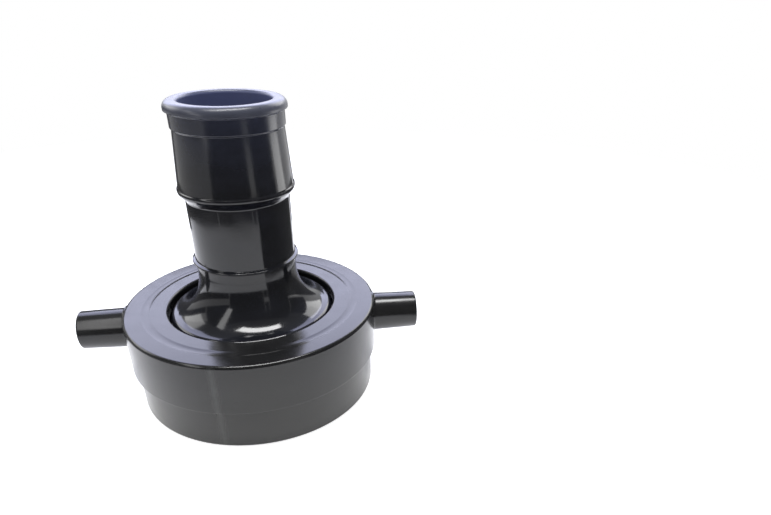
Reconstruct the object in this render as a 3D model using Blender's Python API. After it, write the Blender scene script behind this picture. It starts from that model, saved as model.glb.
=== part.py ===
"""Swivel hose tail coupling, modelled standing on the mouth of its nut.

Three moulded pieces share the Z axis, and the mouth face of the nut lies at Z = 0.
The nut has a coarse buttress thread and two round lugs, which lie along X.
The flange of the tail stands on a rubber washer, which the top of the thread carries,
and its shoulder comes out through the lip of the nut.
"""
import math

import bmesh
import bpy
from mathutils import Matrix, Vector
from mathutils.geometry import interpolate_bezier

MM = 0.001

# Clearances between the pieces
SEAT_GAP = 0.3 * MM
AXIAL_FLOAT = 2.1 * MM

# Nut, outside: a mouth band round the thread, and a wider band above it
MOUTH_WALL = 7.8 * MM
MOUTH_BAND_HEIGHT = 20.3 * MM
BAND_STEP = 2.2 * MM
BAND_STEP_SLOPE = 0.9 * MM
NUT_TOP_EDGE = 2.0 * MM
MOUTH_EDGE = 1.3 * MM

# Nut, the lip that holds the tail, with a shallow ring groove in its top face
LIP_THICKNESS = 5.5 * MM
LIP_HOLE_EDGE = 1.0 * MM
LIP_HOLE_CLEARANCE = 1.4 * MM
FACE_GROOVE_INSET = 10.5 * MM
FACE_GROOVE_WIDTH = 3.0 * MM
FACE_GROOVE_DEPTH = 0.4 * MM

# Nut, thread
THREAD_MAJOR_RADIUS = 50.0 * MM
THREAD_DEPTH = 4.0 * MM
THREAD_PITCH = 8.0 * MM
THREAD_LENGTH = 29.0 * MM
THREAD_ROOT_WIDTH = 2.6 * MM
THREAD_STEEP_FLANK = math.radians(3.0)
THREAD_SLOPED_FLANK = math.radians(30.0)
THREAD_ENTRY = 0.5 * MM
THREAD_OVERCUT = 1.0 * MM
RELIEF_CLEARANCE = 0.3 * MM

# Nut, lugs
LUG_ROOT_RADIUS = 9.6 * MM
LUG_TIP_RADIUS = 9.1 * MM
LUG_LENGTH = 21.5 * MM
LUG_EDGE = 0.8 * MM
LUG_TOP_MARGIN = 1.2 * MM
LUG_ROOT_DEPTH = 5.0 * MM

# Washer
WASHER_THICKNESS = 3.0 * MM
WASHER_EDGE = 0.4 * MM
WASHER_SIDE_GAP = 0.7 * MM
WASHER_SEAL_INSET = 0.6 * MM
WASHER_LEAD_RISE = 0.6 * MM
WASHER_BORE_MARGIN = 0.8 * MM

# Tail, flange and flared shoulder
FLANGE_THREAD_CLEARANCE = 1.5 * MM
FLANGE_THICKNESS = 4.0 * MM
FLANGE_EDGE = 0.5 * MM
FLANGE_LEDGE = 6.1 * MM
SHOULDER_HEIGHT = 6.4 * MM
SHOULDER_EDGE = 2.2 * MM
SHOULDER_ROLL = 78.0
FLARE_HEIGHT = 20.0 * MM
FLARE_FOOT_REACH = 4.6 * MM
FLARE_FOOT_LIFT = 0.6 * MM
FLARE_NECK_REACH = 14.0 * MM
SHOULDER_WALL = 4.8 * MM
FUNNEL_SET_BACK = 4.0 * MM
FUNNEL_NECK_REACH = 15.0 * MM
FUNNEL_FOOT_REACH = 2.5 * MM

# Tail, tube and what grips the hose
TUBE_RADIUS = 22.7 * MM
TUBE_WALL = 3.6 * MM
STOP_RING_RISE = 5.0 * MM
STOP_RING_HEIGHT = 1.8 * MM
STOP_RING_PROUD = 1.5 * MM
STOP_RING_SLOPE = 0.5 * MM
PLAIN_LENGTH = 27.2 * MM
BARB_BACK_LENGTH = 4.5 * MM
BARB_BACK_REACH = 1.6 * MM
BARB_RIDGE_PROUD = 2.2 * MM
BARB_RIDGE_WIDTH = 0.7 * MM
BARB_LENGTH = 24.6 * MM
BARB_NOSE_PROUD = 0.4 * MM
BAND_LENGTH = 6.1 * MM
BAND_PROUD = 1.0 * MM
BAND_LINE = 0.6 * MM
BEAD_LENGTH = 1.0 * MM
BEAD_PROUD = 2.4 * MM
RIM_THICKNESS = 3.1 * MM
RIM_EDGE = 1.4 * MM

# Facets
NUT_FACETS = 64
TAIL_FACETS = 56
LUG_FACETS = 32
THREAD_FACETS = 44
ARC_STEPS = 4
EDGE_STEPS = 3
FLARE_STEPS = 8
FUNNEL_STEPS = 6
SHARP_ANGLE = math.radians(32)

# Levels along Z, from the mouth of the nut upwards
THREAD_TOP = THREAD_LENGTH
WASHER_BOTTOM = THREAD_TOP + SEAT_GAP
WASHER_TOP = WASHER_BOTTOM + WASHER_THICKNESS
FLANGE_BOTTOM = WASHER_TOP + SEAT_GAP
FLANGE_TOP = FLANGE_BOTTOM + FLANGE_THICKNESS
LIP_UNDERSIDE = FLANGE_TOP + AXIAL_FLOAT + SEAT_GAP
NUT_TOP = LIP_UNDERSIDE + LIP_THICKNESS
SHOULDER_TOP = FLANGE_TOP + SHOULDER_HEIGHT
FLARE_TOP = SHOULDER_TOP + FLARE_HEIGHT
STOP_RING_BOTTOM = FLARE_TOP + STOP_RING_RISE
STOP_RING_TOP = STOP_RING_BOTTOM + STOP_RING_HEIGHT
BARB_BACK = STOP_RING_TOP + PLAIN_LENGTH
BARB_RIDGE = BARB_BACK + BARB_BACK_LENGTH
BARB_NOSE = BARB_RIDGE + BARB_RIDGE_WIDTH + BARB_LENGTH
BAND_TOP = BARB_NOSE + BAND_LINE + BAND_LENGTH
BEAD_TOP = BAND_TOP + BAND_LINE + BEAD_LENGTH

# Radii that follow from the fits
MOUTH_BAND_RADIUS = THREAD_MAJOR_RADIUS + MOUTH_WALL
NUT_RADIUS = MOUTH_BAND_RADIUS + BAND_STEP
LUG_REACH = NUT_RADIUS + LUG_LENGTH
FACE_GROOVE_RADIUS = NUT_RADIUS - FACE_GROOVE_INSET
THREAD_MINOR_RADIUS = THREAD_MAJOR_RADIUS - THREAD_DEPTH
RELIEF_RADIUS = THREAD_MAJOR_RADIUS + RELIEF_CLEARANCE
FLANGE_RADIUS = THREAD_MINOR_RADIUS - FLANGE_THREAD_CLEARANCE
SHOULDER_RADIUS = FLANGE_RADIUS - FLANGE_LEDGE
LIP_HOLE_RADIUS = SHOULDER_RADIUS + LIP_HOLE_CLEARANCE
WASHER_RADIUS = RELIEF_RADIUS - WASHER_SIDE_GAP
WASHER_SEAL_RADIUS = THREAD_MINOR_RADIUS - WASHER_SEAL_INSET
FLARE_BORE_RADIUS = SHOULDER_RADIUS - SHOULDER_WALL
WASHER_BORE_RADIUS = FLARE_BORE_RADIUS + WASHER_BORE_MARGIN
TUBE_BORE_RADIUS = TUBE_RADIUS - TUBE_WALL
BEAD_RADIUS = TUBE_RADIUS + BEAD_PROUD
RIM_RADIUS = TUBE_BORE_RADIUS + RIM_THICKNESS
TAIL_TOP = BEAD_TOP + BEAD_RADIUS - RIM_RADIUS
LUG_HEIGHT = NUT_TOP - LUG_TOP_MARGIN - LUG_ROOT_RADIUS


def clear_scene():
    for obj in list(bpy.data.objects):
        bpy.data.objects.remove(obj, do_unlink=True)


def plastic(name, colour, roughness):
    material = bpy.data.materials.new(name)
    material.use_nodes = True
    shader = material.node_tree.nodes["Principled BSDF"]
    shader.inputs["Base Color"].default_value = (*colour, 1.0)
    shader.inputs["Roughness"].default_value = roughness
    shader.inputs["Metallic"].default_value = 0.0
    return material


def rounding(centre_r, centre_z, radius, start, end, steps=ARC_STEPS):
    """Points of an arc in the (radius, height) plane, angles in degrees from +R."""
    points = []
    for i in range(steps + 1):
        angle = math.radians(start + (end - start) * i / steps)
        points.append((centre_r + radius * math.cos(angle), centre_z + radius * math.sin(angle)))
    return points


def sweep_curve(start, start_handle, end_handle, end, steps=FLARE_STEPS):
    """Points of one Bezier stretch in the (radius, height) plane."""
    knots = [Vector((r, 0.0, z)) for r, z in (start, start_handle, end_handle, end)]
    return [(p.x, p.z) for p in interpolate_bezier(*knots, steps + 1)]


def new_object(name, bm, material):
    bmesh.ops.recalc_face_normals(bm, faces=bm.faces[:])
    mesh = bpy.data.meshes.new(name)
    bm.to_mesh(mesh)
    bm.free()
    mesh.shade_smooth()
    mesh.set_sharp_from_angle(angle=SHARP_ANGLE)
    if material is not None:
        mesh.materials.append(material)
    obj = bpy.data.objects.new(name, mesh)
    bpy.context.scene.collection.objects.link(obj)
    return obj


def turned_mesh(profile, facets):
    """A closed outline in the (radius, height) plane, spun once round Z."""
    bm = bmesh.new()
    verts = [bm.verts.new((r, 0.0, z)) for r, z in profile]
    edges = [bm.edges.new((a, b)) for a, b in zip(verts, verts[1:] + verts[:1])]
    bmesh.ops.spin(
        bm,
        geom=verts + edges,
        cent=(0.0, 0.0, 0.0),
        axis=(0.0, 0.0, 1.0),
        angle=math.tau,
        steps=facets,
        use_merge=True,
    )
    return bm


def as_cutter(obj):
    obj.hide_render = True
    obj.display_type = "WIRE"


def boolean(target, tool, operation):
    modifier = target.modifiers.new(tool.name, "BOOLEAN")
    modifier.operation = operation
    modifier.solver = "EXACT"
    modifier.object = tool


def bake_modifiers(obj):
    """Keep the evaluated mesh, so that the edges that the cuts left can be made sharp."""
    depsgraph = bpy.context.evaluated_depsgraph_get()
    mesh = bpy.data.meshes.new_from_object(obj.evaluated_get(depsgraph))
    obj.modifiers.clear()
    obj.data = mesh
    mesh.name = obj.name
    mesh.set_sharp_from_angle(angle=SHARP_ANGLE)


def nut_profile():
    """Round the section of the nut: up its outside, in over the lip, down the bore."""
    groove_inner = FACE_GROOVE_RADIUS - FACE_GROOVE_WIDTH / 2
    groove_outer = FACE_GROOVE_RADIUS + FACE_GROOVE_WIDTH / 2
    entry_radius = THREAD_MAJOR_RADIUS + THREAD_ENTRY
    hole_centre = LIP_HOLE_RADIUS + LIP_HOLE_EDGE
    mouth = rounding(MOUTH_BAND_RADIUS - MOUTH_EDGE, MOUTH_EDGE, MOUTH_EDGE, -90, 0, EDGE_STEPS)
    bands = [
        (MOUTH_BAND_RADIUS, MOUTH_BAND_HEIGHT - BAND_STEP_SLOPE),
        (NUT_RADIUS, MOUTH_BAND_HEIGHT),
    ]
    top = rounding(NUT_RADIUS - NUT_TOP_EDGE, NUT_TOP - NUT_TOP_EDGE, NUT_TOP_EDGE, 0, 90)
    face_groove = [
        (groove_outer, NUT_TOP),
        (groove_outer - FACE_GROOVE_DEPTH, NUT_TOP - FACE_GROOVE_DEPTH),
        (groove_inner + FACE_GROOVE_DEPTH, NUT_TOP - FACE_GROOVE_DEPTH),
        (groove_inner, NUT_TOP),
    ]
    hole = rounding(hole_centre, NUT_TOP - LIP_HOLE_EDGE, LIP_HOLE_EDGE, 90, 180, EDGE_STEPS)
    bore = [
        (LIP_HOLE_RADIUS, LIP_UNDERSIDE),
        (RELIEF_RADIUS, LIP_UNDERSIDE),
        (RELIEF_RADIUS, THREAD_TOP),
        (THREAD_MINOR_RADIUS, THREAD_TOP),
        (THREAD_MINOR_RADIUS, entry_radius - THREAD_MINOR_RADIUS),
        (entry_radius, 0.0),
    ]
    return mouth + bands + top + face_groove + hole + bore


def thread_cutter():
    """The groove of the thread: its section swept along a helix from below the mouth
    into the relief under the lip, so that both of its ends lie clear of the nut."""
    inner = THREAD_MINOR_RADIUS - THREAD_OVERCUT
    depth = THREAD_MAJOR_RADIUS - inner
    low = depth * math.tan(THREAD_STEEP_FLANK)
    high = low + THREAD_ROOT_WIDTH
    section = [
        (inner, 0.0),
        (THREAD_MAJOR_RADIUS, low),
        (THREAD_MAJOR_RADIUS, high),
        (inner, high + depth * math.tan(THREAD_SLOPED_FLANK)),
    ]
    start = -THREAD_PITCH
    turns = (THREAD_TOP - start) / THREAD_PITCH
    steps = math.ceil(turns * THREAD_FACETS)
    bm = bmesh.new()
    verts = [bm.verts.new((r, 0.0, start + z)) for r, z in section]
    first = bm.faces.new(verts)
    edges = list(first.edges)
    bmesh.ops.delete(bm, geom=[first], context="FACES_ONLY")
    bmesh.ops.spin(
        bm,
        geom=verts + edges,
        cent=(0.0, 0.0, 0.0),
        axis=(0.0, 0.0, 1.0),
        dvec=(0.0, 0.0, (THREAD_TOP - start) / steps),
        angle=math.tau * turns,
        steps=steps,
        use_merge=False,
    )
    ends = [edge for edge in bm.edges if edge.is_boundary]
    bmesh.ops.holes_fill(bm, edges=ends, sides=len(section))
    cutter = new_object("thread_groove", bm, None)
    as_cutter(cutter)
    return cutter


def lug_blank(side):
    """One drafted round lug along X, sunk a little into the wall of the nut."""
    root = NUT_RADIUS - LUG_ROOT_DEPTH
    bm = bmesh.new()
    bmesh.ops.create_cone(
        bm,
        cap_ends=True,
        segments=LUG_FACETS,
        radius1=LUG_ROOT_RADIUS,
        radius2=LUG_TIP_RADIUS,
        depth=LUG_REACH - root,
    )
    tip = [e for e in bm.edges if all(v.co.z > 0.0 for v in e.verts)]
    bmesh.ops.bevel(bm, geom=tip, offset=LUG_EDGE, segments=2, affect="EDGES", profile=0.5)
    lug = new_object("lug_right" if side > 0 else "lug_left", bm, None)
    lug.matrix_world = Matrix.Translation((side * (LUG_REACH + root) / 2, 0.0, LUG_HEIGHT)) @ \
        Matrix.Rotation(side * math.pi / 2, 4, "Y")
    as_cutter(lug)
    return lug


def make_nut(material):
    nut = new_object("swivel_nut", turned_mesh(nut_profile(), NUT_FACETS), material)
    boolean(nut, thread_cutter(), "DIFFERENCE")
    for side in (-1, 1):
        boolean(nut, lug_blank(side), "UNION")
    bake_modifiers(nut)
    return nut


def make_washer(material):
    """A flat ring, whose outer part tapers off below, so that it passes the thread."""
    edge = WASHER_EDGE
    profile = [
        (WASHER_BORE_RADIUS + edge, WASHER_BOTTOM),
        (WASHER_SEAL_RADIUS, WASHER_BOTTOM),
        (WASHER_RADIUS - edge, WASHER_BOTTOM + WASHER_LEAD_RISE),
        (WASHER_RADIUS, WASHER_BOTTOM + WASHER_LEAD_RISE + edge),
        (WASHER_RADIUS, WASHER_TOP - edge),
        (WASHER_RADIUS - edge, WASHER_TOP),
        (WASHER_BORE_RADIUS + edge, WASHER_TOP),
        (WASHER_BORE_RADIUS, WASHER_TOP - edge),
        (WASHER_BORE_RADIUS, WASHER_BOTTOM + edge),
    ]
    return new_object("sealing_washer", turned_mesh(profile, NUT_FACETS), material)


def tail_outside():
    """Up the outside of the tail, from the flange to the rim."""
    shoulder_centre = SHOULDER_RADIUS - SHOULDER_EDGE
    ridge = TUBE_RADIUS + BARB_RIDGE_PROUD
    ring = TUBE_RADIUS + STOP_RING_PROUD
    band = TUBE_RADIUS + BAND_PROUD
    flange = [
        (FLANGE_RADIUS - FLANGE_EDGE, FLANGE_BOTTOM),
        (FLANGE_RADIUS, FLANGE_BOTTOM + FLANGE_EDGE),
        (FLANGE_RADIUS, FLANGE_TOP - FLANGE_EDGE),
        (FLANGE_RADIUS - FLANGE_EDGE, FLANGE_TOP),
        (SHOULDER_RADIUS, FLANGE_TOP),
    ]
    shoulder_level = SHOULDER_TOP - SHOULDER_EDGE
    shoulder = rounding(shoulder_centre, shoulder_level, SHOULDER_EDGE, 0, SHOULDER_ROLL)
    crown = shoulder[-1]
    flare = sweep_curve(
        crown,
        (crown[0] - FLARE_FOOT_REACH, crown[1] + FLARE_FOOT_LIFT),
        (TUBE_RADIUS, FLARE_TOP - FLARE_NECK_REACH),
        (TUBE_RADIUS, FLARE_TOP),
    )
    stop_ring = [
        (TUBE_RADIUS, STOP_RING_BOTTOM),
        (ring, STOP_RING_BOTTOM + STOP_RING_SLOPE),
        (ring, STOP_RING_TOP - STOP_RING_SLOPE),
        (TUBE_RADIUS, STOP_RING_TOP),
    ]
    barb = sweep_curve(
        (TUBE_RADIUS, BARB_BACK),
        (TUBE_RADIUS, BARB_BACK + BARB_BACK_REACH),
        (ridge, BARB_RIDGE - BARB_BACK_REACH),
        (ridge, BARB_RIDGE),
        EDGE_STEPS,
    )
    barb += [
        (ridge, BARB_RIDGE + BARB_RIDGE_WIDTH),
        (TUBE_RADIUS + BARB_NOSE_PROUD, BARB_NOSE),
    ]
    grip_band = [
        (band, BARB_NOSE + BAND_LINE),
        (band, BAND_TOP),
    ]
    nose = rounding(RIM_RADIUS, BEAD_TOP, BEAD_RADIUS - RIM_RADIUS, 0, 90)
    bead = [(BEAD_RADIUS, BAND_TOP + BAND_LINE)] + nose
    return flange + shoulder + flare[1:] + stop_ring + barb + grip_band + bead


def tail_inside():
    """Down the bore of the tail, from the rim to the face of the flange."""
    funnel_top = FLARE_TOP - FUNNEL_SET_BACK
    funnel_bottom = SHOULDER_TOP - SHOULDER_WALL
    funnel = sweep_curve(
        (TUBE_BORE_RADIUS, funnel_top),
        (TUBE_BORE_RADIUS, funnel_top - FUNNEL_NECK_REACH),
        (FLARE_BORE_RADIUS, funnel_bottom + FUNNEL_FOOT_REACH),
        (FLARE_BORE_RADIUS, funnel_bottom),
        FUNNEL_STEPS,
    )
    return [
        (TUBE_BORE_RADIUS + RIM_EDGE, TAIL_TOP),
        (TUBE_BORE_RADIUS, TAIL_TOP - RIM_EDGE),
    ] + funnel + [
        (FLARE_BORE_RADIUS, FLANGE_BOTTOM + FLANGE_EDGE),
        (FLARE_BORE_RADIUS + FLANGE_EDGE, FLANGE_BOTTOM),
    ]


def make_tail(material):
    profile = tail_outside() + tail_inside()
    return new_object("hose_tail", turned_mesh(profile, TAIL_FACETS), material)


def main():
    clear_scene()
    make_nut(plastic("nut_plastic", (0.012, 0.012, 0.013), 0.16))
    make_washer(plastic("washer_rubber", (0.02, 0.02, 0.02), 0.62))
    make_tail(plastic("tail_plastic", (0.011, 0.011, 0.013), 0.12))


main()
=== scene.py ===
"""Dresses the swivel hose tail coupling: the finished pieces, their materials, and the studio.

Laid out as a Blender add-on and run as a script. Lengths are in metres, with +Z up the
common axis of the coupling and the mouth of the nut at Z = 0.
"""

import math

import bmesh
import bpy
from bpy.props import FloatProperty, FloatVectorProperty, PointerProperty
from bpy.types import Operator, Panel, PropertyGroup
from mathutils import Matrix, Vector
from mathutils.geometry import interpolate_bezier


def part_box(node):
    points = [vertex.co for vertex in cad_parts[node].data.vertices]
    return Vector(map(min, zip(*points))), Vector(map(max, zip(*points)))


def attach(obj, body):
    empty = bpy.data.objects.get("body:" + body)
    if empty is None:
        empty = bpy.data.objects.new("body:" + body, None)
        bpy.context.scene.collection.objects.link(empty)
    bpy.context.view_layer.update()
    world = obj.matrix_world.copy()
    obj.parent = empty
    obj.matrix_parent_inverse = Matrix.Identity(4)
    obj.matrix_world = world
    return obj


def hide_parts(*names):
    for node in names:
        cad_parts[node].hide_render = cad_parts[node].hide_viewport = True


bl_info = {
    "name": "Swivel hose tail coupling",
    "version": (1, 0, 0),
    "blender": (4, 5, 0),
    "location": "View3D > Sidebar > Coupling",
    "description": "Models and dresses a swivel nut, its washer and its hose tail",
    "category": "Object",
}

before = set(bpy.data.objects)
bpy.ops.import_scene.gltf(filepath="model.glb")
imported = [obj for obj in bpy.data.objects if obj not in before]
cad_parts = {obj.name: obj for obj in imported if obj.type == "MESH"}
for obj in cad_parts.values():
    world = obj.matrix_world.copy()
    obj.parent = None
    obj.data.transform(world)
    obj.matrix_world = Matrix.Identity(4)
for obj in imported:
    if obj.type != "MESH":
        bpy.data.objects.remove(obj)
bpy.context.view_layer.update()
NUT_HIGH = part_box("swivel_nut")[1]
WASHER_LOW, WASHER_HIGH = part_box("sealing_washer")
TAIL_LOW, TAIL_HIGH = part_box("hose_tail")

MM = 0.001

# Facets once round the axis, segments of an arc and of a curve, the sharpest edge that is
# shaded smooth, and how close points are that count as one
NUT_FACETS = 256
TAIL_FACETS = 192
LUG_FACETS = 72
THREAD_FACETS = 128
ARC_SEGMENTS = 6
CURVE_STEPS = 28
SMOOTH_ANGLE = math.radians(34)
MERGE_DISTANCE = 0.001 * MM

# Minor forms of the mouldings. The roll of the shoulder is in degrees. The helix of the
# thread starts a turn below the mouth, ends in the chamber and cuts past the crests. A lug
# goes on into the wall, and the foot of its fillet meets the wall at the fit depth.
FINE_EDGE = 0.2 * MM
SHOULDER_ROLL = 78.0
HELIX_TURNS = 5
CREST_OVERCUT = 1.5 * MM
LUG_SINK = 3.0 * MM
FIT_DEPTH = 0.05 * MM

# Painted highlight on the nut: a pale upright line painted on the front of its wall in place of
# the reflection of a tall light. Its heading from the front towards the left lug, how far it
# reaches to either side, where along Y it fades, as a share of the radius, and its patches
HIGHLIGHT_LINE_HEADING = math.radians(13.6)
HIGHLIGHT_LINE_REACH = 2.4 * MM
HIGHLIGHT_LINE_FADE = (-0.9, -0.7)
HIGHLIGHT_LINE_PATCH_SIZE = 12 * MM
HIGHLIGHT_LINE_PATCH_BAND = (0.3, 0.7)
HIGHLIGHT_LINE_PATCH_STRENGTH = (0.45, 1.0)

# Gloss plastic: the size of each pattern, its stretch along the axes, the band of the noise
# that shows it, what it adds to the roughness, and the depth of each relief
FLOW_SIZE = 22 * MM
FLOW_STRETCH = (1.0, 1.0, 0.35)
FLOW_BAND = (0.4, 0.7)
CLOUD_SIZE = 9 * MM
CLOUD_BAND = (0.35, 0.75)
CLOUD_ROUGHNESS = 0.06
SCUFF_SIZE = 0.5 * MM
SCUFF_STRETCH = (14.0, 1.0, 1.0)
SCUFF_BAND = (0.66, 0.8)
SCUFF_ROUGHNESS = 0.12
WAVE_SIZE, WAVE_DEPTH = 16 * MM, 0.10 * MM
PEEL_SIZE, PEEL_DEPTH = 1.1 * MM, 0.004 * MM
PLASTIC_IOR = 1.52

# Painted reflection and dulling at the end of the tail: a bluish tint painted in the tube and
# up the barb stands in for reflected window light, and the pale grey on the bead is partly wear
# and partly painted reflection. Their share of the colour at the rim and on the bead, the power
# by which it rises up the barb, and what it adds to the roughness, with the power of that
RIM_SHEEN_AND_DULLING = 0.22
BEAD_WEAR_AND_SHEEN = 0.34
SHEEN_AND_DULLING_RISE_POWER = 2.0
HAZE_ROUGHNESS = 0.35
HAZE_ROUGHNESS_POWER = 0.6

# Matt rubber, in the same terms
DUST_SIZE = 6 * MM
DUST_BAND = (0.45, 0.75)
RUBBER_PATCH_SIZE = 2 * MM
RUBBER_PATCH_BAND = (0.3, 0.7)
RUBBER_ROUGHNESS = (0.62, 0.82)
GRAIN_SIZE, GRAIN_DEPTH = 0.35 * MM, 0.03 * MM

# Floor, room, lights and cards. A fade gives the distances at which it starts and ends: the
# colour of the floor fades out into white, and the light painted round the foot, which covers
# the object's shadow there, into the colour.
FLOOR_SIZE = 8.0
FLOOR_DROP = 0.2 * MM
FLOOR_TONE_SIZE = 0.4
FLOOR_TONE_BAND = (0.3, 0.7)
FLOOR_TONE = (0.78, 0.81)
FLOOR_FADE = (0.25, 0.60)
PAINTED_FOOT_LIGHT_FADE = (0.06, 0.13)
FLOOR_ROUGHNESS = 0.8
ROOM_COLOUR = (0.95, 0.97, 1.0, 1.0)
WHITE = (1.0, 1.0, 1.0, 1.0)
BLACK = (0.0, 0.0, 0.0, 1.0)
WINDOW_TINT = (0.675, 0.705, 1.0)
CARD_FACETS = 360
LIT_MIDDLE = Vector((0.0, 0.0, 50 * MM))

# Photograph, in pixels
PHOTO_WIDTH = 771
PHOTO_HEIGHT = 515
FOCAL_LENGTH_PX = 587.8
OPTICAL_CENTRE_PX = (403.05, 344.38)

# Camera, in metres and radians, and the heading that it stands at, in degrees from the front
CAMERA_PLACE = Vector((29.91 * MM, -266.67 * MM, 180.22 * MM))
CAMERA_HEADING = 0.1709
CAMERA_PITCH = 0.5564
CAMERA_ROLL = 0.0173
CAMERA_SIDE = 6.4
SENSOR_WIDTH = 36.0


def length(name, description, default):
    """A length in metres, shown in the sidebar."""
    return FloatProperty(name=name, description=description, default=default,
                         unit="LENGTH", precision=5, min=0.0)


def angle(name, description, default):
    """An angle in radians, shown in degrees."""
    return FloatProperty(name=name, description=description, default=default, subtype="ANGLE")


def share(name, description, default):
    """A number from 0 to 1."""
    return FloatProperty(name=name, description=description, default=default,
                         subtype="FACTOR", min=0.0, max=1.0)


def brightness(name, description, default):
    """How bright something shines, where 1 is white."""
    return FloatProperty(name=name, description=description, default=default, min=0.0)


def colour(name, description, default):
    """A colour, as the shader takes it."""
    return FloatVectorProperty(name=name, description=description, default=default,
                               subtype="COLOR", size=3, min=0.0, max=1.0)


class NutSizes(PropertyGroup):
    """Sizes of the swivel nut."""

    radius: length("Radius", "Upper band, outside", NUT_HIGH.y)
    height: length("Height", "Mouth face to top face", NUT_HIGH.z)
    top_edge: length("Top edge", "Rounding of the outer top edge", 1.6 * MM)
    mouth_radius: length("Mouth radius", "Lower band, outside", 57.8 * MM)
    mouth_height: length("Mouth height", "Height of the lower band", 20.3 * MM)
    mouth_edge: length("Mouth edge", "Rounding of the lower outer edge", 1.3 * MM)
    step_slope: length("Step slope", "Height over which the upper band steps out", 0.9 * MM)
    lip_thickness: length("Lip thickness", "Lip that holds the tail", 5.5 * MM)
    lip_hole_radius: length("Lip hole", "Hole that the shoulder comes through", 39.8 * MM)
    lip_hole_edge: length("Lip hole edge", "Rounding of the hole in the lip", 1.0 * MM)
    groove_radius: length("Groove radius", "Ring groove in the top face", 49.5 * MM)
    groove_width: length("Groove width", "Width of the ring groove", 4.0 * MM)
    groove_depth: length("Groove depth", "Depth of the ring groove", 0.22 * MM)
    small_edge: length("Small edge", "Rounding of the minor edges", 0.3 * MM)
    relief_radius: length("Relief radius", "Chamber behind the thread", 50.3 * MM)
    lug_root: length("Lug root radius", "Lug at the wall of the nut", 9.6 * MM)
    lug_tip: length("Lug tip radius", "Lug at its end", 9.1 * MM)
    lug_reach: length("Lug reach", "End of a lug from the axis", NUT_HIGH.x)
    lug_edge: length("Lug edge", "Rounding of the end of a lug", 0.8 * MM)
    lug_fillet: length("Lug fillet", "Fillet where a lug meets the wall", 1.0 * MM)
    lug_height: length("Lug height", "Axis of the lugs above the mouth", 33.7 * MM)


class ThreadSizes(PropertyGroup):
    """Sizes of the coarse buttress thread in the mouth of the nut."""

    major: length("Root radius", "Radius at the roots of the thread", 50.0 * MM)
    minor: length("Crest radius", "Radius at the crests of the thread", 46.0 * MM)
    pitch: length("Pitch", "Rise of one turn", 8.0 * MM)
    length_up: length("Length", "Height of the threaded bore", 29.0 * MM)
    root_width: length("Root width", "Flat at the root", 2.6 * MM)
    entry: length("Entry", "How far the mouth opens past the roots", 0.5 * MM)
    root_edge: length("Root edge", "Rounding in the roots", 0.5 * MM)
    steep_flank: angle("Steep flank", "Flank that takes the load, from square", math.radians(3.0))
    sloped_flank: angle("Sloped flank", "Flank behind it, from square", math.radians(30.0))


class WasherSizes(PropertyGroup):
    """Sizes of the sealing washer."""

    radius: length("Radius", "Outside", WASHER_HIGH.x)
    bore: length("Bore radius", "Hole through the washer", 34.4 * MM)
    seal_radius: length("Seal radius", "Flat part of the sealing face", 45.4 * MM)
    lead_rise: length("Lead rise", "Rise of the taper outside the sealing face", 0.6 * MM)
    edge: length("Edge", "Rounding of the corners", 0.4 * MM)


class TailSizes(PropertyGroup):
    """Sizes of the hose tail."""

    flange_radius: length("Flange radius", "Flange behind the lip", TAIL_HIGH.x)
    flange_thickness: length("Flange thickness", "Flange behind the lip", 4.0 * MM)
    flange_edge: length("Flange edge", "Rounding of the flange", 0.5 * MM)
    shoulder_radius: length("Shoulder radius", "Foot of the flare", 38.4 * MM)
    shoulder_height: length("Shoulder height", "Straight part above the flange", 6.4 * MM)
    shoulder_edge: length("Shoulder edge", "Rounding of the shoulder", 2.2 * MM)
    shoulder_wall: length("Shoulder wall", "Wall of the flare", 4.8 * MM)
    flare_height: length("Flare height", "Shoulder to plain tube", 20.0 * MM)
    flare_foot_reach: length("Flare foot", "How far the foot of the flare runs flat", 4.6 * MM)
    flare_foot_lift: length("Flare foot lift", "Rise of that run", 0.6 * MM)
    flare_neck_reach: length("Flare neck", "How far the neck of the flare runs straight", 14.0 * MM)
    funnel_set_back: length("Funnel top", "Top of the funnel below that of the flare", 4.0 * MM)
    funnel_neck_reach: length("Funnel neck", "The same inside, at the neck", 15.0 * MM)
    funnel_foot_reach: length("Funnel foot", "The same inside, at the foot", 2.5 * MM)
    tube_radius: length("Tube radius", "Plain part of the tube", 22.7 * MM)
    tube_wall: length("Tube wall", "Wall of the tube", 3.6 * MM)
    ring_rise: length("Stop ring rise", "Plain tube under the stop ring", 5.0 * MM)
    ring_height: length("Stop ring height", "Ring that stops the hose", 1.8 * MM)
    ring_proud: length("Stop ring", "How far the ring stands out", 1.5 * MM)
    ring_slope: length("Stop ring slope", "Chamfer of the ring", 0.5 * MM)
    ring_edge: length("Stop ring edge", "Rounding of the ring", 0.35 * MM)
    plain_length: length("Plain length", "Stop ring to barb", 27.2 * MM)
    barb_back: length("Barb back", "Rise at the back of the barb", 4.5 * MM)
    barb_back_reach: length("Barb back reach", "Ease of that rise at its ends", 1.6 * MM)
    barb_proud: length("Barb ridge", "How far the ridge stands out", 2.2 * MM)
    barb_lip: length("Barb lip", "Fine lip along the top of the ridge", 0.5 * MM)
    ridge_width: length("Ridge width", "Flat along the ridge", 0.7 * MM)
    barb_length: length("Barb length", "Ridge to nose", 24.6 * MM)
    nose_proud: length("Barb nose", "How far the nose stands out", 0.4 * MM)
    band_length: length("Band length", "Band under the bead", 6.1 * MM)
    band_proud: length("Band", "How far the band stands out", 1.0 * MM)
    band_line: length("Band line", "Slope beside the band", 0.6 * MM)
    bead_length: length("Bead length", "Straight side of the bead", 1.0 * MM)
    bead_proud: length("Bead", "How far the bead stands out", 2.4 * MM)
    rim_thickness: length("Rim thickness", "Flat end of the tail", 3.1 * MM)
    rim_edge: length("Rim edge", "Rounding inside the rim", 1.4 * MM)


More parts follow.
